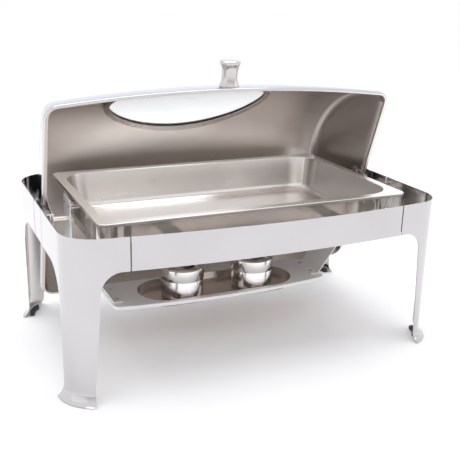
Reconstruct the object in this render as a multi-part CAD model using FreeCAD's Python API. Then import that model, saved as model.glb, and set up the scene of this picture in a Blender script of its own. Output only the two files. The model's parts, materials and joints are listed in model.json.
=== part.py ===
import FreeCAD, Part
import math
import os
from FreeCAD import Vector

# Roll-top chafing dish, millimetres, +Z up, standing on Z = 0.
# X runs along the length, the user stands at -Y. The origin is on the table
# below the middle of the frame. The lid is drawn shut and then rolled back.

# --- frame ---------------------------------------------------------------
FRAME_HALF_LENGTH = 321.0
FRAME_HALF_WIDTH = 213.5      # at the middle of the front rail
FRAME_HEIGHT = 257.0
FRONT_BOW_RADIUS = 2300.0     # the long rails bulge slightly outwards
SIDE_BOW_RADIUS = 40000.0     # the short sides are almost straight
CORNER_RADIUS = 55.0
SHEET = 1.5
SEAM_X = 230.0                # joints between the front rail and the legs
SEAM_Y = 28.0                 # joints between the short side rails and the legs
SEAM_GAP = 2.0
FRONT_RAIL_BOTTOM = 206.0
SIDE_RAIL_BOTTOM = 198.0
LEG_INNER_TOP = 273.0         # the front edge of a leg tapers outwards going down
LEG_INNER_BOTTOM = 286.0
LEG_SIDE_EDGE = 147.0
FRONT_ARCH_RADIUS = 32.0
SIDE_ARCH_RADIUS = 60.0
FOOT_HEIGHT = 19.0
FOOT_FLARE = 11.0
PAD_HEIGHT = 6.0
PAD_WIDTH = 8.0
PAD_RISE = 1.0                # how far the foot pads lift the metal off the table

# --- hinge ---------------------------------------------------------------
HINGE_Z = 230.0
LID_OPEN_ANGLE = 71.2
ROD_RADIUS = 4.0
ROD_INNER_X = 263.0
ROD_OUTER_X = 312.0
BRACKET_INNER_X = 304.0
BRACKET_HALF_WIDTH = 28.0
BRACKET_TOP = 245.0
BRACKET_BOTTOM = 206.5
SWEEP_RADIUS = 26.5           # inside this the lid's end rim never passes
STOP_ANGLES = (147.0, -108.0)  # polar angles of the shut stop and the open stop
STOP_RADIUS = 22.0            # stop pins sit this far from the rod
NUT_ACROSS_FLATS = 13.0
NUT_HEIGHT = 6.0

# --- lid -----------------------------------------------------------------
LID_RADIUS = 201.0            # outer radius of the barrel at its middle
LID_BOW_RADIUS = 2400.0
LID_SHEET = 1.2
LID_RIM_RISE = 32.0           # the rim plane above the hinge axis, lid shut
LID_HALF_LENGTH = 302.2
LID_END_DRAFT = 6.3           # degrees that the end walls lean inwards
LID_EDGE_RADIUS = 17.0
BEAD_HALF_LENGTH = 309.0
BEAD_HALF_WIDTH = 202.5
BEAD_WIDTH = 7.0
BEAD_HEIGHT = 8.0
BEAD_CORNER_RADIUS = 26.0
WINDOW_X = -28.0
WINDOW_ANGLE = 130.0          # polar angle of the window's middle, lid shut
WINDOW_HALF_LENGTH = 155.0
WINDOW_HALF_ARC = 27.0        # degrees
WINDOW_FRAME = 10.0
KNOB_ANGLE = 164.2
ARM_X = 298.9
ARM_HALF_WIDTH = 15.0
ARM_THICKNESS = 2.0

# --- pans and carrier ----------------------------------------------------
PAN_LENGTH = 530.0
PAN_WIDTH = 325.0
PAN_RIM_TOP = 265.0
PAN_SHEET = 1.0
RIM_LIP = 4.5                 # turned-down edge of the food pan
FOOD_OPENING = (498.0, 292.0)
FOOD_DEPTH = 65.0
WATER_OPENING = (503.0, 298.0)
WATER_DEPTH = 80.0
PAN_DRAFT = 8.0               # how much each wall leans in at the floor
PAN_CORNER = 45.0
PAN_FLOOR_RADIUS = 16.0
CARRIER_SIZE = (509.0, 304.0)
CARRIER_BOTTOM = 222.0
SUPPORT_X = 140.0

# --- burner shelf --------------------------------------------------------
HANGER_X = 270.5
HANGER_Y = 10.0
HANGER_THICKNESS = 2.0
HANGER_HALF_WIDTH = 23.0
HANGER_TOP = 261.0
HANGER_BEND = 182.0
RIVET_YS = (-5.0, 25.0)
RIVET_Z = 250.0
SHELF_TOP = 70.0
SHELF_HALF_LENGTH = 205.0
SHELF_FRONT = -36.0
SHELF_BACK = 85.0
SHELF_LIP = 6.0
FOOT_X = 200.0
FOOT_FRONT = -2.0
FOOT_BACK = 66.0
WELL_LENGTH = 298.0
WELL_WIDTH = 100.0
WELL_DEPTH = 12.0
WELL_Y = 26.0
CUP_X = 69.0
CUP_Y = 20.0
CUP_RADIUS = 38.0
CUP_HEIGHT = 56.0
CUP_SHEET = 0.8
COVER_SKIRT = 21.0
BURNER_RADIUS = 23.0
DAMPER_RADIUS = 27.0
DAMPER_OPEN_ANGLE = 110.0

X_AXIS = Vector(1, 0, 0)
Y_AXIS = Vector(0, 1, 0)
Z_AXIS = Vector(0, 0, 1)
HINGE_POINT = Vector(0, 0, HINGE_Z)
LID_RIM_Z = HINGE_Z + LID_RIM_RISE


# --- small helpers -------------------------------------------------------
def write(name, shape):
    shape.exportStep("parts/" + name + ".step")


def box(x0, x1, y0, y1, z0, z1):
    return Part.makeBox(x1 - x0, y1 - y0, z1 - z0, Vector(x0, y0, z0))


def cylinder_x(radius, x0, x1, y, z):
    return Part.makeCylinder(radius, x1 - x0, Vector(x0, y, z), X_AXIS)


def cylinder_y(radius, x, y0, y1, z):
    return Part.makeCylinder(radius, y1 - y0, Vector(x, y0, z), Y_AXIS)


def cylinder_z(radius, x, y, z0, z1):
    return Part.makeCylinder(radius, z1 - z0, Vector(x, y, z0), Z_AXIS)


def mirror_x(shape):
    return shape.mirror(Vector(0, 0, 0), X_AXIS)


def mirror_y(shape):
    return shape.mirror(Vector(0, 0, 0), Y_AXIS)


def group(shapes):
    return Part.makeCompound(shapes)


def edge_line(a, b):
    return Part.LineSegment(a, b).toShape()


def edge_arc(a, b, c):
    return Part.Arc(a, b, c).toShape()


def extrude_wire(edges, direction):
    return Part.Face(Part.Wire(edges)).extrude(direction)


def hexagon_x(x0, x1, y, z, across_flats):
    radius = across_flats / math.sqrt(3)
    points = []
    for i in range(7):
        angle = math.radians(60 * i)
        points.append(Vector(x0, y + radius * math.cos(angle), z + radius * math.sin(angle)))
    return Part.Face(Part.makePolygon(points)).extrude(Vector(x1 - x0, 0, 0))


def rounded_rectangle(length, width, radius, z, y_middle=0.0):
    half_x, half_y = length / 2, width / 2
    edges = []
    corners = ((1, 1), (-1, 1), (-1, -1), (1, -1))
    starts, mids, ends = [], [], []
    for sx, sy in corners:
        cx = sx * (half_x - radius)
        cy = y_middle + sy * (half_y - radius)
        along_x = Vector(cx, cy + sy * radius, z)
        along_y = Vector(cx + sx * radius, cy, z)
        diagonal = radius * math.sqrt(0.5)
        mids.append(Vector(cx + sx * diagonal, cy + sy * diagonal, z))
        first, last = (along_y, along_x) if sx * sy > 0 else (along_x, along_y)
        starts.append(first)
        ends.append(last)
    for i in range(4):
        edges.append(edge_arc(starts[i], mids[i], ends[i]))
        edges.append(edge_line(ends[i], starts[(i + 1) % 4]))
    return Part.Wire(edges)


def plate(length, width, radius, z0, z1, y_middle=0.0):
    wire = rounded_rectangle(length, width, radius, z0, y_middle)
    return Part.Face(wire).extrude(Vector(0, 0, z1 - z0))


# --- bowed outline shared by the frame and the lid's rolled rim ------------
def corner_centre(half_length, half_width, front_bow, side_bow, radius):
    """Centre of the corner arc that is tangent to the bowed front and side."""
    ax, ay, ar = 0.0, front_bow - half_width, front_bow - radius
    bx, by, br = half_length - side_bow, 0.0, side_bow - radius
    dx, dy = bx - ax, by - ay
    gap = math.hypot(dx, dy)
    along = (ar * ar - br * br + gap * gap) / (2 * gap)
    across = math.sqrt(ar * ar - along * along)
    px = ax + (along * dx - across * dy) / gap
    py = ay + (along * dy + across * dx) / gap
    qx = ax + (along * dx + across * dy) / gap
    qy = ay + (along * dy - across * dx) / gap
    return (px, py) if px > 0 and py < 0 else (qx, qy)


def bowed_wire(half_length, half_width, front_bow, side_bow, radius, inset, z):
    cx, cy = corner_centre(half_length, half_width, front_bow, side_bow, radius)
    front = Vector(cx, cy - (front_bow - half_width), 0).normalize()
    side = Vector(cx - (half_length - side_bow), cy, 0).normalize()
    middle = (front + side).normalize()
    centre = Vector(cx, cy, z)
    reach = radius - inset
    at_front = centre + front * reach
    at_corner = centre + middle * reach
    at_side = centre + side * reach

    def flip(point, sx, sy):
        return Vector(sx * point.x, sy * point.y, point.z)

    front_mid = Vector(0, -(half_width - inset), z)
    side_mid = Vector(half_length - inset, 0, z)
    edges = [
        edge_arc(flip(at_front, -1, 1), front_mid, at_front),
        edge_arc(at_front, at_corner, at_side),
        edge_arc(at_side, side_mid, flip(at_side, 1, -1)),
        edge_arc(flip(at_side, 1, -1), flip(at_corner, 1, -1), flip(at_front, 1, -1)),
        edge_arc(flip(at_front, 1, -1), flip(front_mid, 1, -1), flip(at_front, -1, -1)),
        edge_arc(flip(at_front, -1, -1), flip(at_corner, -1, -1), flip(at_side, -1, -1)),
        edge_arc(flip(at_side, -1, -1), flip(side_mid, -1, 1), flip(at_side, -1, 1)),
        edge_arc(flip(at_side, -1, 1), flip(at_corner, -1, 1), flip(at_front, -1, 1)),
    ]
    return Part.Wire(edges)


def frame_prism(inset, z0, z1):
    wire = bowed_wire(FRAME_HALF_LENGTH, FRAME_HALF_WIDTH, FRONT_BOW_RADIUS, SIDE_BOW_RADIUS,
                      CORNER_RADIUS, inset, z0)
    return Part.Face(wire).extrude(Vector(0, 0, z1 - z0))


def frame_ring(inset0, inset1, z0, z1):
    return frame_prism(inset0, z0, z1).cut(frame_prism(inset1, z0 - 1, z1 + 1))


# --- frame sheet work ------------------------------------------------------
def front_opening():
    """Space between the legs below the front rail, cut from front to back."""
    top, low = FRONT_RAIL_BOTTOM, -10.0
    slope = (LEG_INNER_BOTTOM - LEG_INNER_TOP) / (FRONT_RAIL_BOTTOM - FRONT_ARCH_RADIUS)
    foot_x = LEG_INNER_TOP + slope * (FRONT_RAIL_BOTTOM - FRONT_ARCH_RADIUS - low)
    points = [Vector(-foot_x, -300, low), Vector(-LEG_INNER_TOP, -300, top - FRONT_ARCH_RADIUS)]
    shoulder = LEG_INNER_TOP - FRONT_ARCH_RADIUS
    bend = FRONT_ARCH_RADIUS * (1 - math.sqrt(0.5))
    edges = [
        edge_line(points[0], points[1]),
        edge_arc(points[1], Vector(-LEG_INNER_TOP + bend, -300, top - bend), Vector(-shoulder, -300, top)),
        edge_line(Vector(-shoulder, -300, top), Vector(shoulder, -300, top)),
        edge_arc(Vector(shoulder, -300, top), Vector(LEG_INNER_TOP - bend, -300, top - bend),
                 Vector(LEG_INNER_TOP, -300, top - FRONT_ARCH_RADIUS)),
        edge_line(Vector(LEG_INNER_TOP, -300, top - FRONT_ARCH_RADIUS), Vector(foot_x, -300, low)),
        edge_line(Vector(foot_x, -300, low), points[0]),
    ]
    return extrude_wire(edges, Vector(0, 600, 0))


def side_opening():
    """Space between the legs below the side rails, cut from left to right."""
    opening = box(-400, 400, -LEG_SIDE_EDGE, LEG_SIDE_EDGE, -10, SIDE_RAIL_BOTTOM)
    upper = [e for e in opening.Edges
             if abs(e.CenterOfMass.z - SIDE_RAIL_BOTTOM) < 0.01
             and abs(abs(e.CenterOfMass.y) - LEG_SIDE_EDGE) < 0.01]
    return opening.makeFillet(SIDE_ARCH_RADIUS, upper)


def frame_skin():
    skin = frame_ring(0, SHEET, PAD_RISE + FOOT_HEIGHT, FRAME_HEIGHT)
    return skin.cut(front_opening()).cut(side_opening())


def foot_flare():
    """The bell-shaped foot of the front right leg."""
    cx, cy = corner_centre(FRAME_HALF_LENGTH, FRAME_HALF_WIDTH, FRONT_BOW_RADIUS,
                           SIDE_BOW_RADIUS, CORNER_RADIUS)
    sweep = 2 * math.atan(FOOT_FLARE / FOOT_HEIGHT)
    curve = FOOT_HEIGHT / math.sin(sweep)
    top = PAD_RISE + FOOT_HEIGHT

    def point(radius, angle):
        y = cy - (CORNER_RADIUS + curve - radius * math.cos(angle))
        return Vector(cx, y, top - radius * math.sin(angle))

    outer, inner = curve, curve + SHEET
    edges = [
        edge_arc(point(outer, 0), point(outer, sweep / 2), point(outer, sweep)),
        edge_line(point(outer, sweep), point(inner, sweep)),
        edge_arc(point(inner, sweep), point(inner, sweep / 2), point(inner, 0)),
        edge_line(point(inner, 0), point(outer, 0)),
    ]
    start = math.degrees(math.asin((LEG_INNER_BOTTOM - 1.5 - cx) / CORNER_RADIUS))
    end = 90 - math.degrees(math.asin((LEG_SIDE_EDGE + cy) / CORNER_RADIUS))
    face = Part.Face(Part.Wire(edges))
    face.rotate(Vector(cx, cy, 0), Z_AXIS, start)
    flare = face.revolve(Vector(cx, cy, 0), Z_AXIS, end - start)
    return flare.common(box(200, 400, -300, 0, PAD_RISE, top + 1))


def foot_pad():
    """Black pad inside the front right foot; it carries the weight."""
    cx, cy = corner_centre(FRAME_HALF_LENGTH, FRAME_HALF_WIDTH, FRONT_BOW_RADIUS,
                           SIDE_BOW_RADIUS, CORNER_RADIUS)
    outer = CORNER_RADIUS - SHEET - 0.05
    inner = outer - PAD_WIDTH
    ring = cylinder_z(outer, cx, cy, 0, PAD_HEIGHT).cut(cylinder_z(inner, cx, cy, -1, PAD_HEIGHT + 1))
    wedge = box(cx + 32, cx + 80, cy - 80, cy - 6, -1, PAD_HEIGHT + 1)
    return ring.common(wedge)


def joint_plate(x):
    """Backing plate behind a seam in the front rail."""
    ring = frame_ring(SHEET, SHEET + 2, FRONT_RAIL_BOTTOM + 6, FRAME_HEIGHT - 8)
    return ring.common(box(x - 18, x + 18, -300, 0, 0, 300))


def joint_rivets(x):
    """Flat-headed rivets on the inside of a joint plate."""
    centre_y = FRONT_BOW_RADIUS - FRAME_HALF_WIDTH
    inner = FRONT_BOW_RADIUS - SHEET - 2.01
    rivets = []
    for dx in (-10, 10):
        for z in (FRONT_RAIL_BOTTOM + 15, FRAME_HEIGHT - 17):
            reach = math.sqrt(inner ** 2 - (x + dx) ** 2)
            start = Vector(x + dx, centre_y - reach, z)
            inward = Vector(-(x + dx), reach, 0)
            rivets.append(Part.makeCylinder(3, 1.2, start, inward))
    return rivets


# --- hinge hardware, drawn on the right ------------------------------------
def hinge_bracket():
    """Channel fixed inside the side rail; its inner web stays inside the rim's sweep."""
    solid = frame_prism(SHEET, BRACKET_BOTTOM, BRACKET_TOP)
    near = cylinder_x(SWEEP_RADIUS, BRACKET_INNER_X, 312, 0, HINGE_Z)
    far = box(310.6, 400, -BRACKET_HALF_WIDTH, BRACKET_HALF_WIDTH, BRACKET_TOP - 12, BRACKET_TOP)
    block = solid.common(near.fuse(far))
    hollow = box(BRACKET_INNER_X + 2, FRAME_HALF_LENGTH - 3.5, -100, 100,
                 BRACKET_BOTTOM + 1.5, BRACKET_TOP - 1.5)
    channel = block.cut(hollow)
    back_ring = frame_ring(SHEET, SHEET + 2, BRACKET_BOTTOM - 1, BRACKET_TOP)
    back = back_ring.common(box(300, 400, -SEAM_Y - 20, SEAM_Y + 20, 0, 300))
    hole = cylinder_x(ROD_RADIUS, 290, FRAME_HALF_LENGTH - 6, 0, HINGE_Z)
    bracket = channel.fuse(back).removeSplitter().cut(hole)
    for angle in STOP_ANGLES:
        bracket = bracket.cut(stop_pin(angle))
    return bracket


def stop_pin(angle):
    """Pin in the bracket's web that the lid's arm runs against."""
    y = STOP_RADIUS * math.cos(math.radians(angle))
    z = HINGE_Z + STOP_RADIUS * math.sin(math.radians(angle))
    return cylinder_x(2.5, ARM_X - 0.5, BRACKET_INNER_X + 2, y, z)


def bracket_rivets():
    rivets = []
    for y in (-SEAM_Y - 12, SEAM_Y + 12):
        for z in (BRACKET_BOTTOM - 1, BRACKET_TOP - 8):
            reach = math.sqrt((SIDE_BOW_RADIUS - SHEET - 2) ** 2 - y * y)
            face_x = FRAME_HALF_LENGTH - SIDE_BOW_RADIUS + reach
            rivets.append(cylinder_x(2.5, face_x - 1.21, face_x - 0.01, y, z))
    return rivets


def hinge_rod():
    rod = cylinder_x(ROD_RADIUS, ROD_INNER_X, ROD_OUTER_X, 0, HINGE_Z)
    ends = [e for e in rod.Edges if len(e.Vertexes) == 1]
    return rod.makeChamfer(0.8, ends)


def nut(x0, x1):
    body = hexagon_x(x0, x1, 0, HINGE_Z, NUT_ACROSS_FLATS)
    return body.cut(cylinder_x(ROD_RADIUS, x0 - 1, x1 + 1, 0, HINGE_Z))


def hinge_nuts():
    """Nuts inside the hanger plate and inside the bracket's channel."""
    bracket_in = BRACKET_INNER_X + 2
    return [nut(HANGER_X - NUT_HEIGHT, HANGER_X), nut(bracket_in, bracket_in + NUT_HEIGHT - 0.5)]


def washer(radius, x0, x1):
    ring = cylinder_x(radius, x0, x1, 0, HINGE_Z)
    return ring.cut(cylinder_x(ROD_RADIUS, x0 - 1, x1 + 1, 0, HINGE_Z))


def friction_washers():
    """Friction washers outside the lid arm and a retaining ring inside it."""
    arm_out = ARM_X + ARM_THICKNESS
    return [washer(11, arm_out + 0.6, arm_out + 1.8), washer(8, arm_out + 1.8, BRACKET_INNER_X),
            washer(7, ARM_X - 1.7, ARM_X - 0.7)]


def lid_buffer():
    """Black rubber wedge on the bracket that keeps the rim clear of the rail."""
    low, high = BRACKET_TOP, BRACKET_TOP + 13
    points = [Vector(310.9, 6, low), Vector(317.5, 6, low), Vector(317.5, 12, high), Vector(313.5, 12, high),
              Vector(310.9, 6, low)]
    wedge = Part.Face(Part.makePolygon(points)).extrude(Vector(0, 20, 0))
    wedge = wedge.common(box(300, 330, 8, 22, low, high))
    edges = [e for e in wedge.Edges if abs(e.BoundBox.ZMin - high) < 0.01]
    return wedge.makeFillet(1.2, edges)


# --- lid, drawn shut ---------------------------------------------------------
def roll_open(shape):
    turned = shape.copy()
    turned.rotate(HINGE_POINT, X_AXIS, -LID_OPEN_ANGLE)
    return turned


def barrel(radius):
    """Solid of revolution about the hinge axis with a bulging outline."""
    reach = 330.0
    low = radius - reach * reach / (2 * LID_BOW_RADIUS)
    left_axis, right_axis = Vector(-reach, 0, HINGE_Z), Vector(reach, 0, HINGE_Z)
    left, right = Vector(-reach, 0, HINGE_Z + low), Vector(reach, 0, HINGE_Z + low)
    edges = [edge_line(left_axis, left), edge_arc(left, Vector(0, 0, HINGE_Z + radius), right),
             edge_line(right, right_axis), edge_line(right_axis, left_axis)]
    return Part.Face(Part.Wire(edges)).revolve(HINGE_POINT, X_AXIS, 360)


def lid_solid(inset, floor_z):
    """The barrel cut by the rim plane and the two leaning end walls."""
    tilt = math.tan(math.radians(LID_END_DRAFT))
    rise = 260.0
    base = LID_HALF_LENGTH - inset / math.cos(math.radians(LID_END_DRAFT)) - (floor_z - LID_RIM_Z) * tilt
    peak = base - rise * tilt
    points = [Vector(-base, -300, floor_z), Vector(base, -300, floor_z),
              Vector(peak, -300, floor_z + rise), Vector(-peak, -300, floor_z + rise),
              Vector(-base, -300, floor_z)]
    wedge = Part.Face(Part.makePolygon(points)).extrude(Vector(0, 600, 0))
    solid = barrel(LID_RADIUS - inset).common(wedge)
    if solid.ShapeType != "Solid":
        solid = solid.Solids[0]
    limit = HINGE_Z + LID_RADIUS * 0.3
    rounded = []
    for edge in solid.Edges:
        box_z = edge.BoundBox
        if box_z.ZMax > limit and box_z.YLength > 100:
            rounded.append(edge)
    return solid.makeFillet(LID_EDGE_RADIUS - inset, rounded)


def bead_prism(inset, z0, z1):
    wire = bowed_wire(BEAD_HALF_LENGTH, BEAD_HALF_WIDTH, LID_BOW_RADIUS, 40000.0,
                      BEAD_CORNER_RADIUS, inset, z0)
    return Part.Face(wire).extrude(Vector(0, 0, z1 - z0))


def lid_bead():
    """Rolled rim around the mouth of the lid."""
    half = BEAD_HEIGHT / 2
    outer = bead_prism(0, LID_RIM_Z - half, LID_RIM_Z + half)
    outer = outer.makeFillet(2.5, [e for e in outer.Edges if e.BoundBox.ZLength < 0.01])
    inner = bead_prism(BEAD_WIDTH, LID_RIM_Z - half - 1, LID_RIM_Z + half + 1)
    return outer.cut(inner)


def window_prism(border, r0, r1):
    """Oval block that follows the barrel, from radius r0 to r1."""
    half_length = WINDOW_HALF_LENGTH + border
    half_arc = WINDOW_HALF_ARC * math.pi / 180 * LID_RADIUS + border
    angle = math.radians(WINDOW_ANGLE)
    normal = Vector(0, math.cos(angle), math.sin(angle))
    centre = HINGE_POINT + Vector(WINDOW_X, 0, 0) + normal * 40
    half_width = (LID_RADIUS * math.sin(half_arc / LID_RADIUS))
    ellipse = Part.Ellipse(centre, half_length, half_width)
    ellipse.Axis = normal
    ellipse.XAxis = X_AXIS
    prism = Part.Face(Part.Wire(ellipse.toShape())).extrude(normal * 240)
    band = barrel(r1).cut(barrel(r0))
    return prism.common(band)


def lid_shell():
    outer = lid_solid(0, LID_RIM_Z)
    inner = lid_solid(LID_SHEET, LID_RIM_Z - 5)
    shell = outer.cut(inner).fuse(lid_bead())
    shell = shell.cut(inner)
    opening = window_prism(-WINDOW_FRAME, LID_RADIUS - 12, LID_RADIUS + 12)
    hole = knob_axis_cylinder(2.6, LID_RADIUS - 20, LID_RADIUS + 10)
    return shell.cut(opening).cut(hole)


def window_glass():
    return window_prism(-2.0, LID_RADIUS - LID_SHEET - 4.2, LID_RADIUS - LID_SHEET - 0.2)


def window_gasket():
    """Rubber ring clamped between the glass edge and the retaining frame."""
    r1 = LID_RADIUS - LID_SHEET - 4.3
    return window_prism(-1.0, r1 - 1.5, r1).cut(window_prism(-WINDOW_FRAME + 2, r1 - 5, r1 + 5))


def window_frame():
    """Stainless retaining ring on the inside of the window."""
    r1 = LID_RADIUS - LID_SHEET - 5.9
    return window_prism(0.0, r1 - 1.2, r1).cut(window_prism(-WINDOW_FRAME, r1 - 5, r1 + 5))


def lid_arm():
    """Plate riveted inside the right end wall that reaches down to the rod."""
    top = LID_RIM_Z + 27
    lean = 27 * math.tan(math.radians(LID_END_DRAFT))
    outer = ARM_X + ARM_THICKNESS
    points = [Vector(ARM_X, -50, HINGE_Z - 20), Vector(outer, -50, HINGE_Z - 20),
              Vector(outer, -50, LID_RIM_Z),
              Vector(outer - lean, -50, top), Vector(ARM_X - lean, -50, top), Vector(ARM_X, -50, LID_RIM_Z),
              Vector(ARM_X, -50, HINGE_Z - 20)]
    profile = Part.Face(Part.makePolygon(points)).extrude(Vector(0, 100, 0))
    half = ARM_HALF_WIDTH
    outline = box(285, 310, -half, half, HINGE_Z, top).fuse(cylinder_x(half, 285, 310, 0, HINGE_Z))
    corners = [e for e in outline.Edges
               if e.BoundBox.XLength > 1 and e.BoundBox.YLength < 0.01 and abs(e.CenterOfMass.z - top) < 0.01]
    outline = outline.makeFillet(5, corners)
    return profile.common(outline).removeSplitter().cut(cylinder_x(ROD_RADIUS + 1.55, 290, 305, 0, HINGE_Z))


def lid_bush():
    """Plastic bush between the arm and the rod."""
    outer = cylinder_x(ROD_RADIUS + 1.5, ARM_X - 0.5, ARM_X + ARM_THICKNESS + 0.5, 0, HINGE_Z)
    return outer.cut(cylinder_x(ROD_RADIUS + 0.05, ARM_X - 3, ARM_X + 6, 0, HINGE_Z))


def lid_rivets():
    """Rivet heads on the arm's upper part, square to the leaning end wall."""
    rivets = []
    for y in (-8, 8):
        rise = 15.0
        lean = rise * math.tan(math.radians(LID_END_DRAFT))
        normal = Vector(-math.cos(math.radians(LID_END_DRAFT)), 0, -math.sin(math.radians(LID_END_DRAFT)))
        start = Vector(ARM_X - lean, y, LID_RIM_Z + rise)
        rivets.append(Part.makeCylinder(3.5, 1.3, start, normal))
    return rivets


def knob_frame(shape):
    """Turn a shape drawn up the Z axis from the hinge onto the knob's axis."""
    turned = shape.copy()
    turned.rotate(HINGE_POINT, X_AXIS, KNOB_ANGLE - 90)
    return turned


def knob_axis_cylinder(radius, r0, r1):
    return knob_frame(cylinder_z(radius, 0, 0, HINGE_Z + r0, HINGE_Z + r1))


def lid_knob():
    """Spool-shaped pull: wide base, narrow waist, flared top."""
    base_z = HINGE_Z + LID_RADIUS + 0.35
    outline = ((17.0, 0.0), (17.0, 3.0), (14.0, 10.0), (13.5, 22.0), (15.0, 32.0), (17.5, 38.0), (17.5, 40.5))
    points = [Vector(r, 0, base_z + h) for r, h in outline]
    waist = Part.BSplineCurve()
    waist.interpolate(points[1:6])
    top_edge = edge_arc(points[6], Vector(16.5, 0, base_z + 42.0), Vector(14.0, 0, base_z + 42.6))
    top_z = base_z + 42.6
    edges = [edge_line(Vector(0, 0, base_z), points[0]), edge_line(points[0], points[1]), waist.toShape(),
             edge_line(points[5], points[6]), top_edge,
             edge_line(Vector(14.0, 0, top_z), Vector(0, 0, top_z)),
             edge_line(Vector(0, 0, top_z), Vector(0, 0, base_z))]
    knob = Part.Face(Part.Wire(edges)).revolve(Vector(0, 0, 0), Z_AXIS, 360)
    bore = cylinder_z(2.5, 0, 0, base_z - 1, base_z + 14)
    return knob_frame(knob.cut(bore))


def knob_screw():
    """Pan-head screw and washer inside the lid."""
    inner = HINGE_Z + LID_RADIUS - LID_SHEET
    shank = cylinder_z(2.5, 0, 0, inner - 1.3, inner + 13)
    head = cylinder_z(5.0, 0, 0, inner - 4.8, inner - 1.3)
    return knob_frame(head.fuse(shank).removeSplitter())


def knob_washer():
    inner = HINGE_Z + LID_RADIUS - LID_SHEET
    ring = cylinder_z(7.5, 0, 0, inner - 1.3, inner - 0.3).cut(cylinder_z(2.6, 0, 0, inner - 3, inner + 2))
    return knob_frame(ring)


# --- pans ----------------------------------------------------------------------
def tub(opening, depth, rim_z, grow):
    """Tapered tub with rounded corners, grown outwards by the sheet."""
    length, width = opening
    top = rounded_rectangle(length + 2 * grow, width + 2 * grow, PAN_CORNER + grow, rim_z)
    low = rounded_rectangle(length - 2 * PAN_DRAFT + 2 * grow, width - 2 * PAN_DRAFT + 2 * grow,
                            PAN_CORNER + grow - PAN_DRAFT / 2, rim_z - depth - grow)
    solid = Part.makeLoft([top, low], True, True)
    floor = [e for e in solid.Edges if abs(e.BoundBox.ZMax - (rim_z - depth - grow)) < 0.01]
    return solid.makeFillet(PAN_FLOOR_RADIUS + grow, floor)


def pan(opening, depth, rim_z, corner):
    flange = plate(PAN_LENGTH, PAN_WIDTH, corner, rim_z - PAN_SHEET, rim_z)
    return flange.fuse(tub(opening, depth, rim_z, PAN_SHEET)).cut(tub(opening, depth, rim_z, 0))


def pan_edge_bead(rim_z, corner):
    """Turned-down edge of a pan's flange."""
    outer = plate(PAN_LENGTH, PAN_WIDTH, corner, rim_z - RIM_LIP, rim_z)
    upper = [e for e in outer.Edges if abs(e.BoundBox.ZMin - rim_z) < 0.01]
    outer = outer.makeFillet(0.9, upper)
    inner = plate(PAN_LENGTH - 3, PAN_WIDTH - 3, corner - 1.5, rim_z - RIM_LIP - 1, rim_z - PAN_SHEET)
    return outer.cut(inner)


def food_pan():
    body = pan(FOOD_OPENING, FOOD_DEPTH, PAN_RIM_TOP, 14.0)
    hole = tub(FOOD_OPENING, FOOD_DEPTH, PAN_RIM_TOP + 0.01, 0)
    return body.fuse(pan_edge_bead(PAN_RIM_TOP, 14.0).cut(hole)).removeSplitter()


def water_pan():
    rim_z = PAN_RIM_TOP - PAN_SHEET - 0.3
    length, width = WATER_OPENING
    flange = plate(PAN_LENGTH - 5, PAN_WIDTH - 5, 12.0, rim_z - PAN_SHEET, rim_z)
    top = rim_z
    outer = tub((length, width), WATER_DEPTH, top, PAN_SHEET)
    return flange.fuse(outer).cut(tub((length, width), WATER_DEPTH, top, 0))


def carrier_ring(grow, z0, z1):
    length, width = CARRIER_SIZE
    return plate(length + 2 * grow, width + 2 * grow, PAN_CORNER + 2 + grow, z0, z1)


def pan_carrier():
    """Open band that holds the water pan by its flange."""
    top = PAN_RIM_TOP - 2 * PAN_SHEET - 0.3
    return carrier_ring(0, CARRIER_BOTTOM, top).cut(carrier_ring(-SHEET, CARRIER_BOTTOM - 1, top + 1))


def front_support(x):
    """Angle between the front rail's inside and the carrier's front wall."""
    carrier_y = -CARRIER_SIZE[1] / 2
    low, high = CARRIER_BOTTOM - 11, CARRIER_BOTTOM + 8
    block = frame_prism(SHEET, low, high).common(box(x - 15, x + 15, -300, carrier_y, low, high))
    hollow = frame_prism(SHEET + 2, low - 1, high - 2)
    hollow = hollow.common(box(x - 20, x + 20, -300, carrier_y - 2, 0, 300))
    return block.cut(hollow)


# --- burner shelf ------------------------------------------------------------
def hanger():
    """Right hanger: upright plate, splayed leg and foot on the shelf."""
    y0, y1 = HANGER_Y - HANGER_HALF_WIDTH, HANGER_Y + HANGER_HALF_WIDTH
    upright = box(HANGER_X, HANGER_X + HANGER_THICKNESS, y0, y1, HANGER_BEND, HANGER_TOP)

    def level(x, front, back, z):
        outer = x + HANGER_THICKNESS
        return Part.makePolygon([Vector(x, front, z), Vector(outer, front, z), Vector(outer, back, z),
                                 Vector(x, back, z), Vector(x, front, z)])

    leg = Part.makeLoft([level(HANGER_X, y0, y1, HANGER_BEND),
                         level(FOOT_X, FOOT_FRONT, FOOT_BACK, SHELF_TOP)], True, True)
    foot = box(FOOT_X - 14, FOOT_X + HANGER_THICKNESS, FOOT_FRONT, FOOT_BACK, SHELF_TOP, SHELF_TOP + 1.5)
    shape = upright.fuse(leg).fuse(foot).removeSplitter()
    holes = cylinder_x(ROD_RADIUS, HANGER_X - 5, HANGER_X + 8, 0, HINGE_Z)
    for y in RIVET_YS:
        holes = holes.fuse(cylinder_x(2.5, HANGER_X - 5, HANGER_X + 8, y, RIVET_Z))
    return shape.cut(holes)


def hanger_spacer(y):
    wall = CARRIER_SIZE[0] / 2
    tube = cylinder_x(5, wall, HANGER_X, y, RIVET_Z)
    return tube.cut(cylinder_x(2.5, wall - 1, HANGER_X + 1, y, RIVET_Z))


def hanger_rivet(y):
    """Flush rivet through the hanger and its spacer."""
    return cylinder_x(2.5, CARRIER_SIZE[0] / 2, HANGER_X + HANGER_THICKNESS, y, RIVET_Z)


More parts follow.
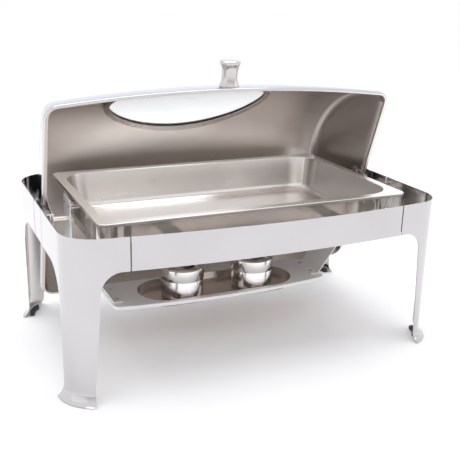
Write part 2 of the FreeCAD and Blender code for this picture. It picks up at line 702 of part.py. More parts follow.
def shelf_outline(inset, z):
    """Straight back and ends, bowed front with rounded corners."""
    half = SHELF_HALF_LENGTH - inset
    back = SHELF_BACK - inset
    front_mid = SHELF_FRONT + inset
    front_end = front_mid + 14
    corner = 14.0 - inset
    bend = corner * (1 - math.sqrt(0.5))

    def side(s):
        return [Vector(s * (half - corner), back, z), Vector(s * (half - bend), back - bend, z),
                Vector(s * half, back - corner, z), Vector(s * half, front_end + corner, z),
                Vector(s * (half - bend), front_end + bend, z), Vector(s * (half - corner), front_end, z)]

    right, left = side(1), side(-1)
    edges = [edge_arc(right[0], right[1], right[2]), edge_line(right[2], right[3]),
             edge_arc(right[3], right[4], right[5]), edge_arc(right[5], Vector(0, front_mid, z), left[5]),
             edge_arc(left[5], left[4], left[3]), edge_line(left[3], left[2]),
             edge_arc(left[2], left[1], left[0]), edge_line(left[0], right[0])]
    return Part.Wire(edges)


def shelf_prism(inset, z0, z1):
    return Part.Face(shelf_outline(inset, z0)).extrude(Vector(0, 0, z1 - z0))


def well(grow, depth):
    """Sunk oval in the shelf that keeps the fuel cups in place."""
    top = rounded_rectangle(WELL_LENGTH + 2 * grow, WELL_WIDTH + 2 * grow, WELL_WIDTH / 2 + grow - 0.01,
                            SHELF_TOP, WELL_Y)
    low = rounded_rectangle(WELL_LENGTH - 8 + 2 * grow, WELL_WIDTH - 8 + 2 * grow,
                            WELL_WIDTH / 2 - 4 + grow - 0.01,
                            SHELF_TOP - depth, WELL_Y)
    return Part.makeLoft([top, low], True, True)


def fuel_shelf():
    sheet = shelf_prism(0, SHELF_TOP - SHELF_LIP, SHELF_TOP)
    sheet = sheet.cut(shelf_prism(SHEET, SHELF_TOP - SHELF_LIP - 1, SHELF_TOP - SHEET))
    return sheet.fuse(well(SHEET, WELL_DEPTH + SHEET)).cut(well(0, WELL_DEPTH)).removeSplitter()


def shelf_rivets():
    rivets = []
    for y in (FOOT_FRONT + 12, FOOT_BACK - 12):
        rivets.append(cylinder_z(3, FOOT_X - 8, y, SHELF_TOP + 1.5, SHELF_TOP + 2.7))
    return rivets


# --- fuel cups -----------------------------------------------------------------
def fuel_cup(x):
    floor = SHELF_TOP - WELL_DEPTH + 0.1
    outer = cylinder_z(CUP_RADIUS, x, CUP_Y, floor, floor + CUP_HEIGHT)
    outer = outer.makeFillet(8, [e for e in outer.Edges if abs(e.BoundBox.ZMax - floor) < 0.01])
    inner = cylinder_z(CUP_RADIUS - CUP_SHEET, x, CUP_Y, floor + CUP_SHEET, floor + CUP_HEIGHT + 5)
    inner = inner.makeFillet(7.2, [e for e in inner.Edges if abs(e.BoundBox.ZMax - floor - CUP_SHEET) < 0.01])
    return outer.cut(inner)


def cup_cover(x):
    """Slip-on cover with the burner opening."""
    floor = SHELF_TOP - WELL_DEPTH + 0.1
    top = floor + CUP_HEIGHT + 1.0
    outer = cylinder_z(CUP_RADIUS + 1.0, x, CUP_Y, top - COVER_SKIRT, top)
    outer = outer.makeFillet(1.2, [e for e in outer.Edges if abs(e.BoundBox.ZMin - top) < 0.01])
    inner = cylinder_z(CUP_RADIUS + 0.05, x, CUP_Y, top - COVER_SKIRT - 1, top - 0.9)
    hole = cylinder_z(BURNER_RADIUS, x, CUP_Y, top - 3, top + 3)
    pin = cylinder_z(1.5, x, CUP_Y + DAMPER_RADIUS + 3, top - 3, top + 3)
    return outer.cut(inner).cut(hole).cut(pin)


def damper(x):
    """Swivelling snuffer plate with a finger tab, drawn over the opening."""
    base = SHELF_TOP - WELL_DEPTH + 0.1 + CUP_HEIGHT + 1.1
    pin_y = CUP_Y + DAMPER_RADIUS + 3
    disc = cylinder_z(DAMPER_RADIUS, x, CUP_Y, base, base + 0.9)
    ear = cylinder_z(5, x, pin_y, base, base + 0.9)
    ear = ear.fuse(box(x - 5, x + 5, pin_y - 6, pin_y, base, base + 0.9))
    tab = box(x - 5, x + 5, CUP_Y - DAMPER_RADIUS - 1, CUP_Y - DAMPER_RADIUS + 0.5, base, base + 8)
    bridge = box(x - 5, x + 5, CUP_Y - DAMPER_RADIUS - 1, CUP_Y - DAMPER_RADIUS + 3, base, base + 0.9)
    plate_shape = disc.fuse(ear).fuse(tab).fuse(bridge).removeSplitter()
    plate_shape = plate_shape.cut(cylinder_z(1.55, x, pin_y, base - 1, base + 2))
    plate_shape.rotate(Vector(x, pin_y, 0), Z_AXIS, DAMPER_OPEN_ANGLE)
    return plate_shape


def damper_rivet(x):
    base = SHELF_TOP - WELL_DEPTH + 0.1 + CUP_HEIGHT
    pin_y = CUP_Y + DAMPER_RADIUS + 3
    shank = cylinder_z(1.5, x, pin_y, base - 0.9, base + 2.1)
    head = cylinder_z(3.2, x, pin_y, base + 2.1, base + 3.3)
    return head.fuse(shank).removeSplitter()


# --- assembly --------------------------------------------------------------------
def quarter(shape, sx, sy):
    """Copy of a part drawn at front right for another corner or side."""
    result = shape if sx > 0 else mirror_x(shape)
    return result if sy > 0 else mirror_y(result)


def write_frame():
    skin = frame_skin()
    split_x = SEAM_X + SEAM_GAP / 2
    split_y = SEAM_Y + SEAM_GAP / 2
    right_leg = skin.common(box(split_x, 400, -400, -split_y, -1, 300)).fuse(foot_flare()).removeSplitter()
    corners = (("front_right", 1, 1), ("front_left", -1, 1), ("rear_right", 1, -1), ("rear_left", -1, -1))
    for name, sx, sy in corners:
        write("leg_" + name, quarter(right_leg, sx, sy))
        write("foot_pad_" + name, quarter(foot_pad(), sx, sy))
    rail = skin.common(box(-split_x + SEAM_GAP, split_x - SEAM_GAP, -400, 0, -1, 300))
    write("front_rail", rail)
    write("rear_rail", mirror_y(rail))
    side = skin.common(box(300, 400, -split_y + SEAM_GAP, split_y - SEAM_GAP, -1, 300))
    write("side_rail_right", side)
    write("side_rail_left", mirror_x(side))
    plates = [joint_plate(SEAM_X), joint_plate(-SEAM_X)]
    write("front_joint_plates", group(plates))
    write("rear_joint_plates", group([mirror_y(p) for p in plates]))
    rivets = joint_rivets(SEAM_X) + joint_rivets(-SEAM_X)
    write("rail_rivets", group(rivets + [mirror_y(r) for r in rivets]))


def write_hinges():
    for side, sx in (("right", 1), ("left", -1)):
        write("hinge_bracket_" + side, quarter(hinge_bracket(), sx, 1))
        write("hinge_rod_" + side, quarter(hinge_rod(), sx, 1))
        write("lid_buffer_" + side, quarter(lid_buffer(), sx, 1))
        write("hinge_nuts_" + side, group([quarter(n, sx, 1) for n in hinge_nuts()]))
        write("friction_washers_" + side, group([quarter(w, sx, 1) for w in friction_washers()]))
        write("stop_pins_" + side, group([quarter(stop_pin(a), sx, 1) for a in STOP_ANGLES]))
    both = bracket_rivets() + [mirror_x(r) for r in bracket_rivets()]
    write("bracket_rivets", group(both))


def write_lid():
    write("lid_shell", roll_open(lid_shell()))
    write("window_glass", roll_open(window_glass()))
    write("window_gasket", roll_open(window_gasket()))
    write("window_frame", roll_open(window_frame()))
    write("lid_knob", roll_open(lid_knob()))
    write("knob_screw", roll_open(knob_screw()))
    write("knob_washer", roll_open(knob_washer()))
    for side, sx in (("right", 1), ("left", -1)):
        write("lid_arm_" + side, roll_open(quarter(lid_arm(), sx, 1)))
        write("lid_bush_" + side, roll_open(quarter(lid_bush(), sx, 1)))
    rivets = lid_rivets() + [mirror_x(r) for r in lid_rivets()]
    write("lid_rivets", roll_open(group(rivets)))


def write_pans():
    write("food_pan", food_pan())
    write("water_pan", water_pan())
    write("pan_carrier", pan_carrier())
    write("front_support_right", front_support(SUPPORT_X))
    write("front_support_left", front_support(-SUPPORT_X))


def write_shelf():
    for side, sx in (("right", 1), ("left", -1)):
        write("hanger_" + side, quarter(hanger(), sx, 1))
    spacers = [hanger_spacer(y) for y in RIVET_YS]
    rivets = [hanger_rivet(y) for y in RIVET_YS]
    write("hanger_spacers", group(spacers + [mirror_x(s) for s in spacers]))
    write("hanger_rivets", group(rivets + [mirror_x(r) for r in rivets]))
    write("fuel_shelf", fuel_shelf())
    write("shelf_rivets", group(shelf_rivets() + [mirror_x(r) for r in shelf_rivets()]))


def write_cups():
    for side, x in (("right", CUP_X), ("left", -CUP_X)):
        write("fuel_cup_" + side, fuel_cup(x))
        write("cup_cover_" + side, cup_cover(x))
        write("damper_" + side, damper(x))
        write("damper_rivet_" + side, damper_rivet(x))


os.makedirs("parts", exist_ok=True)
write_frame()
write_hinges()
write_lid()
write_pans()
write_shelf()
write_cups()
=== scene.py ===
import json
import math

import bmesh
import bpy
from mathutils import Matrix, Vector


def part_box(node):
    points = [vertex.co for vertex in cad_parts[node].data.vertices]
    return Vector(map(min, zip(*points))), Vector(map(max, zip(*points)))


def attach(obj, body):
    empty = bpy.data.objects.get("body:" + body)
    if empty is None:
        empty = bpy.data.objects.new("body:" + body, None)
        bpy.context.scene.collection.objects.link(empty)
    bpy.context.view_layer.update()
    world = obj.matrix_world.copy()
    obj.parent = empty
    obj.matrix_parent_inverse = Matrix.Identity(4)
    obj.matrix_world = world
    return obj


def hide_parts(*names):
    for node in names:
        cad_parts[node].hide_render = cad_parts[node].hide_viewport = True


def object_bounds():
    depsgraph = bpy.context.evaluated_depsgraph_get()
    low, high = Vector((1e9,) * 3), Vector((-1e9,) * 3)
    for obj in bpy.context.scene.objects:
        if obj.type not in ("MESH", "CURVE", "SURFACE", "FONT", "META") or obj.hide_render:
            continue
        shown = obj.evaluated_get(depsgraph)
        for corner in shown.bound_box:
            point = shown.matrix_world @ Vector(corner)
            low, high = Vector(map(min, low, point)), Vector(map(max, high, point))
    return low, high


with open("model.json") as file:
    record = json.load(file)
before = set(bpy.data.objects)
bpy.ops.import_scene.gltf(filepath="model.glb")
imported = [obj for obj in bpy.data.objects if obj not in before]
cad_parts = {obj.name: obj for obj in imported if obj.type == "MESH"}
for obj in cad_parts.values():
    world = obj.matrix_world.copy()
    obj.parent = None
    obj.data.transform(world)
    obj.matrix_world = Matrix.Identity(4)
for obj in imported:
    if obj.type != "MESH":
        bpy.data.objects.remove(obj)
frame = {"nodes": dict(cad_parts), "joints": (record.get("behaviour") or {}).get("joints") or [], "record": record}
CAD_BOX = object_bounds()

NODES = frame["nodes"]
JOINTS = {joint["name"]: joint for joint in frame["joints"]}
PIVOT = Vector(JOINTS["lid_roll"]["pos_m"])
BODY_OF = {}
for body_name, members in frame["record"]["behaviour"]["bodies"].items():
    for member in members:
        BODY_OF[member] = body_name
SLOT_OF = {entry["node"]: entry["material_slot"] for entry in frame["record"]["subparts"]}


# --- materials ---------------------------------------------------------------
NOISE_RANGE = (0.3, 0.7)      # where nearly all of a noise's values lie
EVEN = (1, 1, 1)              # no stretch


def new_material(name):
    """A node material, with its tree and its shader."""
    material = bpy.data.materials.new(name)
    material.use_nodes = True
    tree = material.node_tree
    shader = tree.nodes["Principled BSDF"]
    return material, tree, shader


def add(tree, kind, **values):
    """A new node with input values or settings given by name."""
    node = tree.nodes.new(kind)
    for key, value in values.items():
        if key in node.inputs:
            node.inputs[key].default_value = value
        else:
            setattr(node, key, value)
    return node


def stretched_noise(tree, stretch, scale, detail=4.0):
    """Noise in the object's own space, drawn out along chosen axes."""
    coords = add(tree, "ShaderNodeTexCoord")
    mapping = add(tree, "ShaderNodeMapping")
    mapping.inputs["Scale"].default_value = stretch
    noise = add(tree, "ShaderNodeTexNoise", Scale=scale, Detail=detail)
    tree.links.new(coords.outputs["Object"], mapping.inputs["Vector"])
    tree.links.new(mapping.outputs["Vector"], noise.inputs["Vector"])
    return noise


def map_range(tree, output, bottom, top, low, high):
    """Map the range from bottom to top onto low to high."""
    node = add(tree, "ShaderNodeMapRange")
    for socket, value in (("From Min", bottom), ("From Max", top), ("To Min", low), ("To Max", high)):
        node.inputs[socket].default_value = value
    tree.links.new(output, node.inputs["Value"])
    return node


def ramp(tree, source, low, high):
    """Map a noise's useful range onto two values."""
    return map_range(tree, source.outputs["Fac"], *NOISE_RANGE, low, high)


def mix_colours(tree, output, first, second):
    """Blend two colours by an output."""
    node = add(tree, "ShaderNodeMix", data_type="RGBA")
    node.inputs["A"].default_value = (*first, 1)
    node.inputs["B"].default_value = (*second, 1)
    tree.links.new(output, node.inputs["Factor"])
    return node


def mottle(tree, shader, noise, first, second):
    """Vary the base colour between two colours by a noise."""
    mixed = mix_colours(tree, noise.outputs["Fac"], first, second)
    tree.links.new(mixed.outputs["Result"], shader.inputs["Base Color"])


def vary_roughness(tree, shader, noise, rough):
    """Vary the roughness between two values by a noise."""
    rough_map = ramp(tree, noise, *rough)
    tree.links.new(rough_map.outputs["Result"], shader.inputs["Roughness"])


def metal(name, colour, second, rough, brushed=EVEN, grain=0.0, wave=0.0, metallic=1.0, lines=60.0):
    """Steel: colour variation, roughness variation, brushing lines and slight waviness."""
    material, tree, shader = new_material(name)
    shader.inputs["Metallic"].default_value = metallic
    mottle(tree, shader, stretched_noise(tree, EVEN, 9.0), colour, second)
    vary_roughness(tree, shader, stretched_noise(tree, brushed, lines, 6.0), rough)
    last = None
    if wave:
        wide = stretched_noise(tree, EVEN, 7.0, 1.0)
        last = add(tree, "ShaderNodeBump", Strength=wave, Distance=0.002)
        tree.links.new(wide.outputs["Fac"], last.inputs["Height"])
    if grain:
        fine = stretched_noise(tree, brushed, 220.0, 5.0)
        bump = add(tree, "ShaderNodeBump", Strength=grain, Distance=0.0003)
        tree.links.new(fine.outputs["Fac"], bump.inputs["Height"])
        if last:
            tree.links.new(last.outputs["Normal"], bump.inputs["Normal"])
        last = bump
    if last:
        tree.links.new(last.outputs["Normal"], shader.inputs["Normal"])
    return material


def dull(name, colour, second, rough, scale, strength):
    """Rubber and nylon: mottled, slightly grainy."""
    material, tree, shader = new_material(name)
    noise = stretched_noise(tree, EVEN, scale)
    mottle(tree, shader, noise, colour, second)
    vary_roughness(tree, shader, noise, rough)
    bump = add(tree, "ShaderNodeBump", Strength=strength, Distance=0.0004)
    tree.links.new(noise.outputs["Fac"], bump.inputs["Height"])
    tree.links.new(bump.outputs["Normal"], shader.inputs["Normal"])
    return material


def clear_glass(name):
    """Clear glass with faint smudges."""
    material, tree, shader = new_material(name)
    shader.inputs["Base Color"].default_value = (0.97, 0.985, 0.985, 1)
    shader.inputs["Transmission Weight"].default_value = 1.0
    shader.inputs["IOR"].default_value = 1.45
    vary_roughness(tree, shader, stretched_noise(tree, EVEN, 14.0), (0.0, 0.03))
    return material


POLISHED = metal("polished_steel", (0.605, 0.59, 0.60), (0.53, 0.515, 0.525), (0.04, 0.10),
                 brushed=(9, 9, 0.6), grain=0.004)
# Painted shade: the joint plates seen through the seams are steel made nearly black, so the seams read dark.
SEAM_SHADE = metal("joint_plate_painted_shade", (0.13, 0.115, 0.105), (0.19, 0.17, 0.16), (0.3, 0.45), grain=0.02)
BRIGHT = metal("bright_steel", (0.60, 0.62, 0.66), (0.56, 0.58, 0.62), (0.12, 0.18), grain=0.006)
# Painted shade and painted dark reflections: the frame sheets' inner faces, darker and browner than the polished
# outside.
INSIDE_SHADE = metal("frame_inside_painted_shade", (0.50, 0.46, 0.44), (0.72, 0.68, 0.66), (0.08, 0.18),
               brushed=(12, 12, 0.4), wave=0.02, grain=0.01)
SATIN = metal("satin_inside", (0.80, 0.745, 0.705), (0.75, 0.695, 0.655), (0.32, 0.40),
              brushed=(0.6, 14, 14), grain=0.02)
# Painted shade: the lid's inner end walls, the inside satin made darker.
SATIN_END_SHADE = metal("satin_end_walls_painted_shade", (0.47, 0.432, 0.413), (0.42, 0.385, 0.368), (0.30, 0.38),
                  brushed=(14, 14, 0.6), grain=0.02)
PAN = metal("pan_steel", (0.84, 0.81, 0.785), (0.79, 0.76, 0.735), (0.27, 0.30),
            brushed=(0.5, 4, 4), lines=20.0)
# Painted shade: the food pan's inner end walls, the pan steel made darker.
PAN_END_SHADE = metal("pan_end_walls_painted_shade", (0.50, 0.47, 0.45), (0.46, 0.43, 0.412), (0.30, 0.34),
                brushed=(4, 0.5, 4), lines=20.0)
# Painted light: the food pan's floor, the pan steel made paler where the overhead light falls.
PAN_FLOOR_LIT = metal("pan_floor_painted_light", (1.0, 0.985, 0.97), (0.97, 0.95, 0.93), (0.30, 0.31),
                  brushed=(0.5, 2, 2), lines=8.0)
# Painted reflections: the pan carrier's colour varies in blotches between cream and dark grey, standing for the
# light and dark things it mirrors.
SKIRT_REFLECTIONS = metal("carrier_painted_reflections", (0.96, 0.91, 0.83), (0.36, 0.335, 0.32), (0.08, 0.16),
              brushed=(7, 7, 0.3), metallic=0.75)
BRUSHED = metal("brushed_steel", (0.74, 0.72, 0.70), (0.66, 0.64, 0.62), (0.24, 0.34),
                brushed=(1, 10, 10), grain=0.02)
WINDOW_STEEL = metal("window_frame_steel", (0.50, 0.45, 0.42), (0.44, 0.395, 0.37), (0.26, 0.34),
                     grain=0.006)
GASKET = dull("window_gasket", (0.075, 0.068, 0.066), (0.10, 0.09, 0.088), (0.55, 0.75), 160.0, 0.3)
SHELF = metal("shelf_steel", (0.97, 0.96, 0.96), (0.93, 0.92, 0.92), (0.34, 0.42),
              grain=0.01, metallic=0.3)
WELL = metal("well_steel", (0.80, 0.69, 0.62), (0.66, 0.575, 0.52), (0.14, 0.26),
             grain=0.01, metallic=0.7)
CUP = metal("cup_steel", (0.92, 0.905, 0.89), (0.86, 0.845, 0.83), (0.12, 0.18),
            brushed=(12, 12, 0.5), grain=0.006)
CHROME = metal("knob_chrome", (0.64, 0.60, 0.585), (0.56, 0.525, 0.51), (0.08, 0.15), grain=0.006)
ROD = metal("plated_rod", (0.95, 0.91, 0.85), (0.90, 0.86, 0.80), (0.14, 0.24),
            brushed=(1, 12, 12), grain=0.02)
PLATED = metal("plated_fasteners", (0.72, 0.70, 0.66), (0.60, 0.58, 0.54), (0.18, 0.34), grain=0.04)
RUBBER = dull("black_rubber", (0.018, 0.017, 0.017), (0.035, 0.033, 0.032), (0.55, 0.75), 160.0, 0.3)
NYLON = dull("nylon", (0.04, 0.04, 0.04), (0.07, 0.07, 0.07), (0.4, 0.55), 120.0, 0.2)
GLASS = clear_glass("window_glass")
STYLE = {"polished_steel": POLISHED, "brushed_steel": BRUSHED, "satin_steel": PAN, "plated_rod": ROD,
         "plated_fasteners": PLATED, "clear_glass": GLASS, "black_rubber": RUBBER, "nylon": NYLON}


# --- turning CAD nodes into finished pieces ------------------------------------
WELD = 0.00001                # vertices closer than this are one
FLAT_ENOUGH = math.radians(0.5)


def link(name, data):
    """A new object in the scene."""
    thing = bpy.data.objects.new(name, data)
    bpy.context.scene.collection.objects.link(thing)
    return thing


def finish_mesh(piece, bevel, angle=28.0, crisp=False):
    """Rounded edges and smooth shading on a piece."""
    mesh = piece.data
    for polygon in mesh.polygons:
        polygon.use_smooth = True
    if bevel:
        modifier = piece.modifiers.new("edges", "BEVEL")
        modifier.width = bevel
        modifier.segments = 2
        modifier.limit_method = "ANGLE"
        modifier.angle_limit = math.radians(angle)
        modifier.use_clamp_overlap = True
        modifier.harden_normals = crisp
    else:
        mesh.set_sharp_from_angle(angle=math.radians(angle))
    if crisp:
        return
    weighted = piece.modifiers.new("even_normals", "WEIGHTED_NORMAL")
    weighted.mode = "FACE_AREA"
    weighted.weight = 50
    weighted.keep_sharp = not bevel


def stand_in(piece, node, materials):
    """Let a piece take a CAD node's place: the given materials, the node's body, and the node hidden."""
    mesh = piece.data
    mesh.materials.clear()
    for material in materials:
        mesh.materials.append(material)
    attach(piece, BODY_OF[node])
    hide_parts(node)


def piece_from(node, materials, bevel=0.0004, crisp=False):
    """A piece with the CAD node's shape, welded, with rounded edges."""
    mesh = NODES[node].data.copy()
    piece = link(node + "_finished", mesh)
    work = bmesh.new()
    work.from_mesh(mesh)
    bmesh.ops.remove_doubles(work, verts=work.verts, dist=WELD)
    bmesh.ops.dissolve_limit(work, angle_limit=FLAT_ENOUGH, verts=work.verts, edges=work.edges)
    work.to_mesh(mesh)
    work.free()
    finish_mesh(piece, bevel, crisp=crisp)
    stand_in(piece, node, materials)
    return piece


def paint(piece, rule):
    """Give each face the material index that the rule returns."""
    for polygon in piece.data.polygons:
        polygon.material_index = rule(polygon.center, polygon.normal)


# --- lid -------------------------------------------------------------------------
LID_OPEN = math.radians(71.2)  # from drawn shut to the photographed open position
LID_BOW = 2.4                  # radius of the barrel's bow along its length
BEAD_TOP = 0.0415              # above the pivot, lid shut
ROUND_CORNER = 0.1             # a facing's smaller share, above which it is on a corner
ON_BARREL = 0.995              # how closely a facing agrees with the barrel's


def set_lid_normals(piece):
    """Exact shading normals for the lid's barrel and its flat rim bead."""
    mesh = piece.data
    piece.modifiers.clear()
    shut = Matrix.Rotation(LID_OPEN, 3, "X")
    opened = shut.inverted()
    points = [shut @ (vertex.co - PIVOT) for vertex in mesh.vertices]
    normals = [Vector()] * len(mesh.loops)
    for polygon in mesh.polygons:
        facing = shut @ polygon.normal
        centre = shut @ (polygon.center - PIVOT)
        if centre.z < BEAD_TOP:
            if min(abs(facing.x), abs(facing.y)) <= ROUND_CORNER:
                for loop in polygon.loop_indices:
                    normals[loop] = polygon.normal.copy()
            continue
        for loop in polygon.loop_indices:
            point = points[mesh.loops[loop].vertex_index]
            lean = point.x / LID_BOW
            radial = Vector((0.0, point.y, point.z)).normalized()
            exact = Vector((lean, 0.0, 0.0)) + radial * math.sqrt(1 - lean * lean)
            match = facing.dot(exact)
            if abs(match) > ON_BARREL:
                normals[loop] = opened @ (exact if match > 0 else -exact)
    mesh.normals_split_custom_set(normals)


# --- pans, built ring by ring ----------------------------------------------------
CORNER_STEPS = 12             # faces round each corner, and along the long and short sides
LONG_STEPS = 14
SHORT_STEPS = 9
FLOOR_STEPS = 10              # faces from the floor up into the wall
WALL_STEPS = 5
ROLL_STEPS = 6                # faces over the flange's inner roll
EDGE_STEPS = 4                # faces over the flange's outer edge
PAN_SHEET = 0.001
PAN_DRAFT = 0.008             # how far a wall leans in, top to floor
FLOOR_RADIUS = 0.016          # inside, between wall and floor
FLANGE_ROLL = 0.0022          # inside radius where the wall turns into the flange
FLANGE_EDGE = 0.0009          # radius of the flange's outer edge
FLAT_RIM = 0.004              # the floor's first ring stands this far inside the curve
# opening, depth, lip (the flange's height at its edge), corner radii of wall and flange
FOOD_PAN = ((0.498, 0.292), 0.065, 0.0045, (0.045, 0.014))
WATER_PAN = ((0.503, 0.298), 0.080, 0.001, (0.045, 0.012))


def rounded_ring(length, width, corner, z):
    """Points round a rectangle with rounded corners, counter-clockwise."""
    points = []
    half_x, half_y = length / 2 - corner, width / 2 - corner
    corners = ((1, 1), (-1, 1), (-1, -1), (1, -1))
    for number, (sign_x, sign_y) in enumerate(corners):
        for step in range(CORNER_STEPS + 1):
            angle = math.radians(90 * (number + step / CORNER_STEPS))
            points.append(Vector((sign_x * half_x + corner * math.cos(angle),
                                  sign_y * half_y + corner * math.sin(angle), z)))
        next_x, next_y = corners[(number + 1) % 4]
        end = math.radians(90 * (number + 1))
        after = Vector((next_x * half_x + corner * math.cos(end),
                        next_y * half_y + corner * math.sin(end), z))
        steps = LONG_STEPS if number % 2 == 0 else SHORT_STEPS
        last = points[-1]
        points.extend(last.lerp(after, step / steps) for step in range(1, steps))
    return points


def quarter_turn(steps):
    """Angles from nought to a right angle."""
    return [math.pi / 2 * step / steps for step in range(steps + 1)]


def pan_rings(box, opening, depth, lip, corners):
    """Rings from the middle of the floor up the wall, over the flange and back down outside."""
    low, high = box
    flange, rim = (high[0] - low[0], high[1] - low[1]), high[2]
    wall_corner, flange_corner = corners
    slope = math.atan(PAN_DRAFT / depth)
    reach = math.tan((math.pi / 2 - slope) / 2)
    foot_corner = wall_corner + PAN_DRAFT / 2

    def at(size, offset, corner, z):
        return rounded_ring(size[0] + 2 * offset, size[1] + 2 * offset, corner + offset, z)

    def floor_curve(grow, radius, floor_z):
        arc = []
        for step in range(FLOOR_STEPS + 1):
            turn = (math.pi / 2 - slope) * step / FLOOR_STEPS
            offset = grow - PAN_DRAFT - radius * reach + radius * math.sin(turn)
            arc.append(at(opening, offset, foot_corner, floor_z + radius * (1 - math.cos(turn))))
        return arc

    inside = floor_curve(0.0, FLOOR_RADIUS, rim - depth)
    wall_top = at(opening, -PAN_DRAFT * FLANGE_ROLL / depth, wall_corner, rim - FLANGE_ROLL)
    rings = [at(opening, -PAN_DRAFT - FLOOR_RADIUS * reach - FLAT_RIM, foot_corner, rim - depth)]
    rings += inside
    for step in range(1, WALL_STEPS):
        rings.append([foot.lerp(top, step / WALL_STEPS) for foot, top in zip(inside[-1], wall_top)])
    for turn in quarter_turn(ROLL_STEPS):
        rings.append(at(opening, FLANGE_ROLL * (1 - math.cos(turn)), wall_corner,
                        rim - FLANGE_ROLL * (1 - math.sin(turn))))
    for turn in quarter_turn(EDGE_STEPS):
        rings.append(at(flange, -FLANGE_EDGE * (1 - math.sin(turn)), flange_corner,
                        rim - FLANGE_EDGE * (1 - math.cos(turn))))
    rings.append(at(flange, 0.0, flange_corner, rim - lip))
    rings.append(at(flange, -PAN_SHEET, flange_corner, rim - lip))
    if lip > PAN_SHEET:
        rings.append(at(flange, -PAN_SHEET, flange_corner, rim - PAN_SHEET))
    rings.append(at(opening, PAN_SHEET, wall_corner, rim - PAN_SHEET))
    rings += reversed(floor_curve(PAN_SHEET, FLOOR_RADIUS + PAN_SHEET, rim - depth - PAN_SHEET))
    return rings


def pan_piece(node, sizes, materials):
    """A pan's skin from its rings, closed in the middle of the floor on both sides."""
    mesh = bpy.data.meshes.new(node + "_finished")
    piece = link(node + "_finished", mesh)
    rings = pan_rings(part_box(node), *sizes)
    work = bmesh.new()
    rows = [[work.verts.new(point) for point in ring] for ring in rings]
    count = len(rows[0])
    for first, second in zip(rows, rows[1:]):
        for number in range(count):
            after = (number + 1) % count
            work.faces.new((first[number], first[after], second[after], second[number]))
    work.faces.new(reversed(rows[0]))
    work.faces.new(rows[-1])
    bmesh.ops.recalc_face_normals(work, faces=work.faces)
    work.to_mesh(mesh)
    work.free()
    finish_mesh(piece, 0, angle=50.0)
    stand_in(piece, node, materials)
    return piece


# --- the pieces one by one -------------------------------------------------------
SMALL = ("rivet", "nuts", "washer", "screw", "spacers", "bush", "stop_pins", "joint_plates", "gasket")
FRAME_SHEETS = ("leg_", "front_rail", "rear_rail", "side_rail")
CRISP = ("fuel_cup", "cup_cover", "damper")
END_WALL = 0.7                # a normal's share along x, above which a wall is an end wall
FLOOR_FACE = 0.9              # a normal's upward share, above which a face is a floor
INNER_FACE = -0.3             # a normal's outward share, below which it is on a sheet's inside
SHEET_EDGE = 0.00025
# the sunk oval of the shelf: half its length, its front and back, and the height that it lies below
WELL_HALF, WELL_FRONT, WELL_BACK, WELL_TOP = 0.155, -0.028, 0.08, 0.0689
STYLE_OF_NODE = {"front_joint_plates": SEAM_SHADE, "rear_joint_plates": SEAM_SHADE, "pan_carrier": SKIRT_REFLECTIONS,
                 "hanger_left": SHELF, "hanger_right": SHELF,
                 "fuel_cup_left": CUP, "fuel_cup_right": CUP, "cup_cover_left": CUP,
                 "cup_cover_right": CUP, "lid_knob": CHROME, "window_frame": WINDOW_STEEL,
                 "window_gasket": GASKET}


def keep_small(node, style):
    """Fasteners, joint plates and the gasket keep the CAD's shape, in a procedural material."""
    NODES[node].data.materials.clear()
    NODES[node].data.materials.append(style)


def make_lid(node):
    """The lid: bright outside, satin inside, and painted shade on the inner end walls, which take a darker copy of
    the satin.
    """
    def material_index_of(centre, normal):
        if abs(normal.x) < END_WALL:
            outward = Vector((0.0, centre.y - PIVOT.y, centre.z - PIVOT.z))
            return 1 if normal.dot(outward) < 0 else 0
        return 2 if normal.x * centre.x < 0 else 0

    shell = piece_from(node, [BRIGHT, SATIN, SATIN_END_SHADE], bevel=0)
    paint(shell, material_index_of)
    set_lid_normals(shell)


def make_frame_sheet(node):
    """A leg or rail: polished outside; inside a little rougher, and darker and browner as painted shade and
    painted dark reflections.
    """
    def material_index_of(centre, normal):
        outward = (math.copysign(normal.x, normal.x * centre.x)
                   + math.copysign(normal.y, normal.y * centre.y))
        return 1 if outward < INNER_FACE else 0

    paint(piece_from(node, [POLISHED, INSIDE_SHADE], bevel=SHEET_EDGE), material_index_of)


def make_food_pan(node):
    """The food pan: painted light on the floor, which is paler, and painted shade on the inner end walls, which
    are darker.
    """
    def material_index_of(centre, normal):
        if normal.z > FLOOR_FACE:
            return 1
        return 2 if abs(normal.x) > END_WALL and normal.x * centre.x < 0 else 0

    paint(pan_piece(node, FOOD_PAN, [PAN, PAN_FLOOR_LIT, PAN_END_SHADE]), material_index_of)


def make_water_pan(node):
    """The water pan, one steel all over."""
    pan_piece(node, WATER_PAN, [PAN])


def make_shelf(node):
    """The fuel shelf, browner in its sunk oval."""
    def material_index_of(centre, normal):
        sunk = centre.z < WELL_TOP and abs(centre.x) < WELL_HALF and WELL_FRONT < centre.y < WELL_BACK
        return 1 if sunk else 0

    paint(piece_from(node, [SHELF, WELL]), material_index_of)


MAKERS = {"lid_shell": make_lid, "food_pan": make_food_pan, "water_pan": make_water_pan,
          "fuel_shelf": make_shelf}
for node in sorted(NODES):
    style = STYLE_OF_NODE.get(node, STYLE[SLOT_OF[node]])
    if any(word in node for word in SMALL):
        keep_small(node, style)
    elif node in MAKERS:
        MAKERS[node](node)
    elif node.startswith(FRAME_SHEETS):
        make_frame_sheet(node)
    else:
        piece_from(node, [style], crisp=node.startswith(CRISP))


# --- studio --------------------------------------------------------------------
FLOOR_HALF = 200.0
FLOOR_GAP = 0.0005            # keeps the floor clear of the feet's own faces
DIM_SIDE, BRIGHT_SIDE = (0.74, 0.73, 0.73), (1.0, 1.0, 1.02)


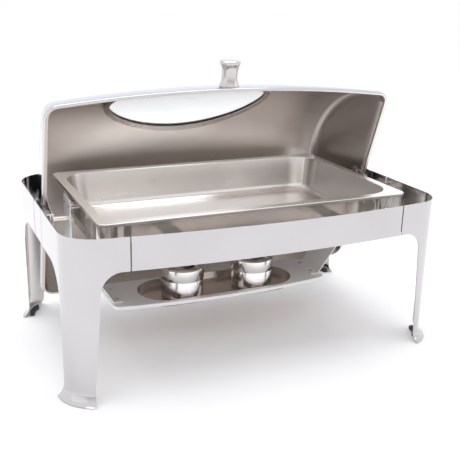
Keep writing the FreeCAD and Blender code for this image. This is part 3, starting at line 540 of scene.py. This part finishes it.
def make_floor():
    """A wide pale floor."""
    mesh = bpy.data.meshes.new("floor")
    corners = [(x * FLOOR_HALF, y * FLOOR_HALF, 0) for x, y in ((-1, -1), (1, -1), (1, 1), (-1, 1))]
    mesh.from_pydata(corners, [], [(0, 1, 2, 3)])
    floor = link("floor", mesh)
    floor.location.z = CAD_BOX[0][2] - FLOOR_GAP
    material, tree, shader = new_material("pale_floor")
    mottle(tree, shader, stretched_noise(tree, EVEN, 3.0), (0.93, 0.93, 0.935), (0.91, 0.91, 0.915))
    shader.inputs["Roughness"].default_value = 0.9
    shader.inputs["Specular IOR Level"].default_value = 0.1
    mesh.materials.append(material)


def area_light(name, place, target, size, size_y, power):
    """A soft light that faces its target."""
    data = bpy.data.lights.new(name, "AREA")
    data.shape = "RECTANGLE"
    data.size = size
    data.size_y = size_y
    data.energy = power
    light = link(name, data)
    light.location = place
    light.rotation_euler = (Vector(target) - Vector(place)).to_track_quat("-Z", "Y").to_euler()


def smooth_part(tree, output, bottom, top):
    """Nought below bottom, one above top, smooth between."""
    node = map_range(tree, output, bottom, top, 0.0, 1.0)
    node.interpolation_type = "SMOOTHSTEP"
    return node.outputs["Result"]


def make_world():
    """Pale room: bright above and towards +y, slightly dimmer low towards -y."""
    world = bpy.data.worlds.new("studio")
    bpy.context.scene.world = world
    world.use_nodes = True
    tree = world.node_tree
    background = tree.nodes["Background"]
    coords = add(tree, "ShaderNodeTexCoord")
    split = add(tree, "ShaderNodeSeparateXYZ")
    tree.links.new(coords.outputs["Generated"], split.inputs["Vector"])
    either = add(tree, "ShaderNodeMath", operation="MAXIMUM")
    tree.links.new(smooth_part(tree, split.outputs["Y"], -1.0, 0.45), either.inputs[0])
    tree.links.new(smooth_part(tree, split.outputs["Z"], 0.15, 0.75), either.inputs[1])
    mixed = mix_colours(tree, either.outputs["Value"], DIM_SIDE, BRIGHT_SIDE)
    tree.links.new(mixed.outputs["Result"], background.inputs["Color"])
    background.inputs["Strength"].default_value = 1.12


CAMERA_ANGLES = (-24.42, 18.25, 1.475)  # azimuth, elevation and roll in degrees
CAMERA_TARGET = Vector((0.00528, 0.0, 0.17834))
CAMERA_DISTANCE = 1.3242


def make_camera():
    """Camera at the photograph's angle, slightly rolled."""
    azimuth, elevation, roll = map(math.radians, CAMERA_ANGLES)
    back = Vector((math.sin(azimuth) * math.cos(elevation), -math.cos(azimuth) * math.cos(elevation),
                   math.sin(elevation)))
    right = (-back).cross(Vector((0, 0, 1))).normalized()
    up = right.cross(-back)
    turned_right = math.cos(roll) * right + math.sin(roll) * up
    turned_up = -math.sin(roll) * right + math.cos(roll) * up
    data = bpy.data.cameras.new("camera")
    data.sensor_width = 36.0
    data.lens = 58.51
    data.shift_x = 0.0093
    data.shift_y = -0.0005
    camera = link("camera", data)
    matrix = Matrix((turned_right, turned_up, back)).transposed().to_4x4()
    matrix.translation = CAMERA_TARGET + back * CAMERA_DISTANCE
    camera.matrix_world = matrix
    bpy.context.scene.camera = camera


make_floor()
make_world()
area_light("overhead", (0.0, 0.3, 2.4), (0, 0, 0.2), 2.4, 1.6, 24.0)
area_light("left_soft", (-2.2, -0.6, 0.9), (-0.2, 0.0, 0.1), 1.8, 1.4, 1.6)
area_light("right_soft", (2.3, -0.9, 1.2), (0, 0, 0.2), 1.0, 1.6, 3.0)
make_camera()
bpy.context.scene.view_settings.view_transform = "Standard"
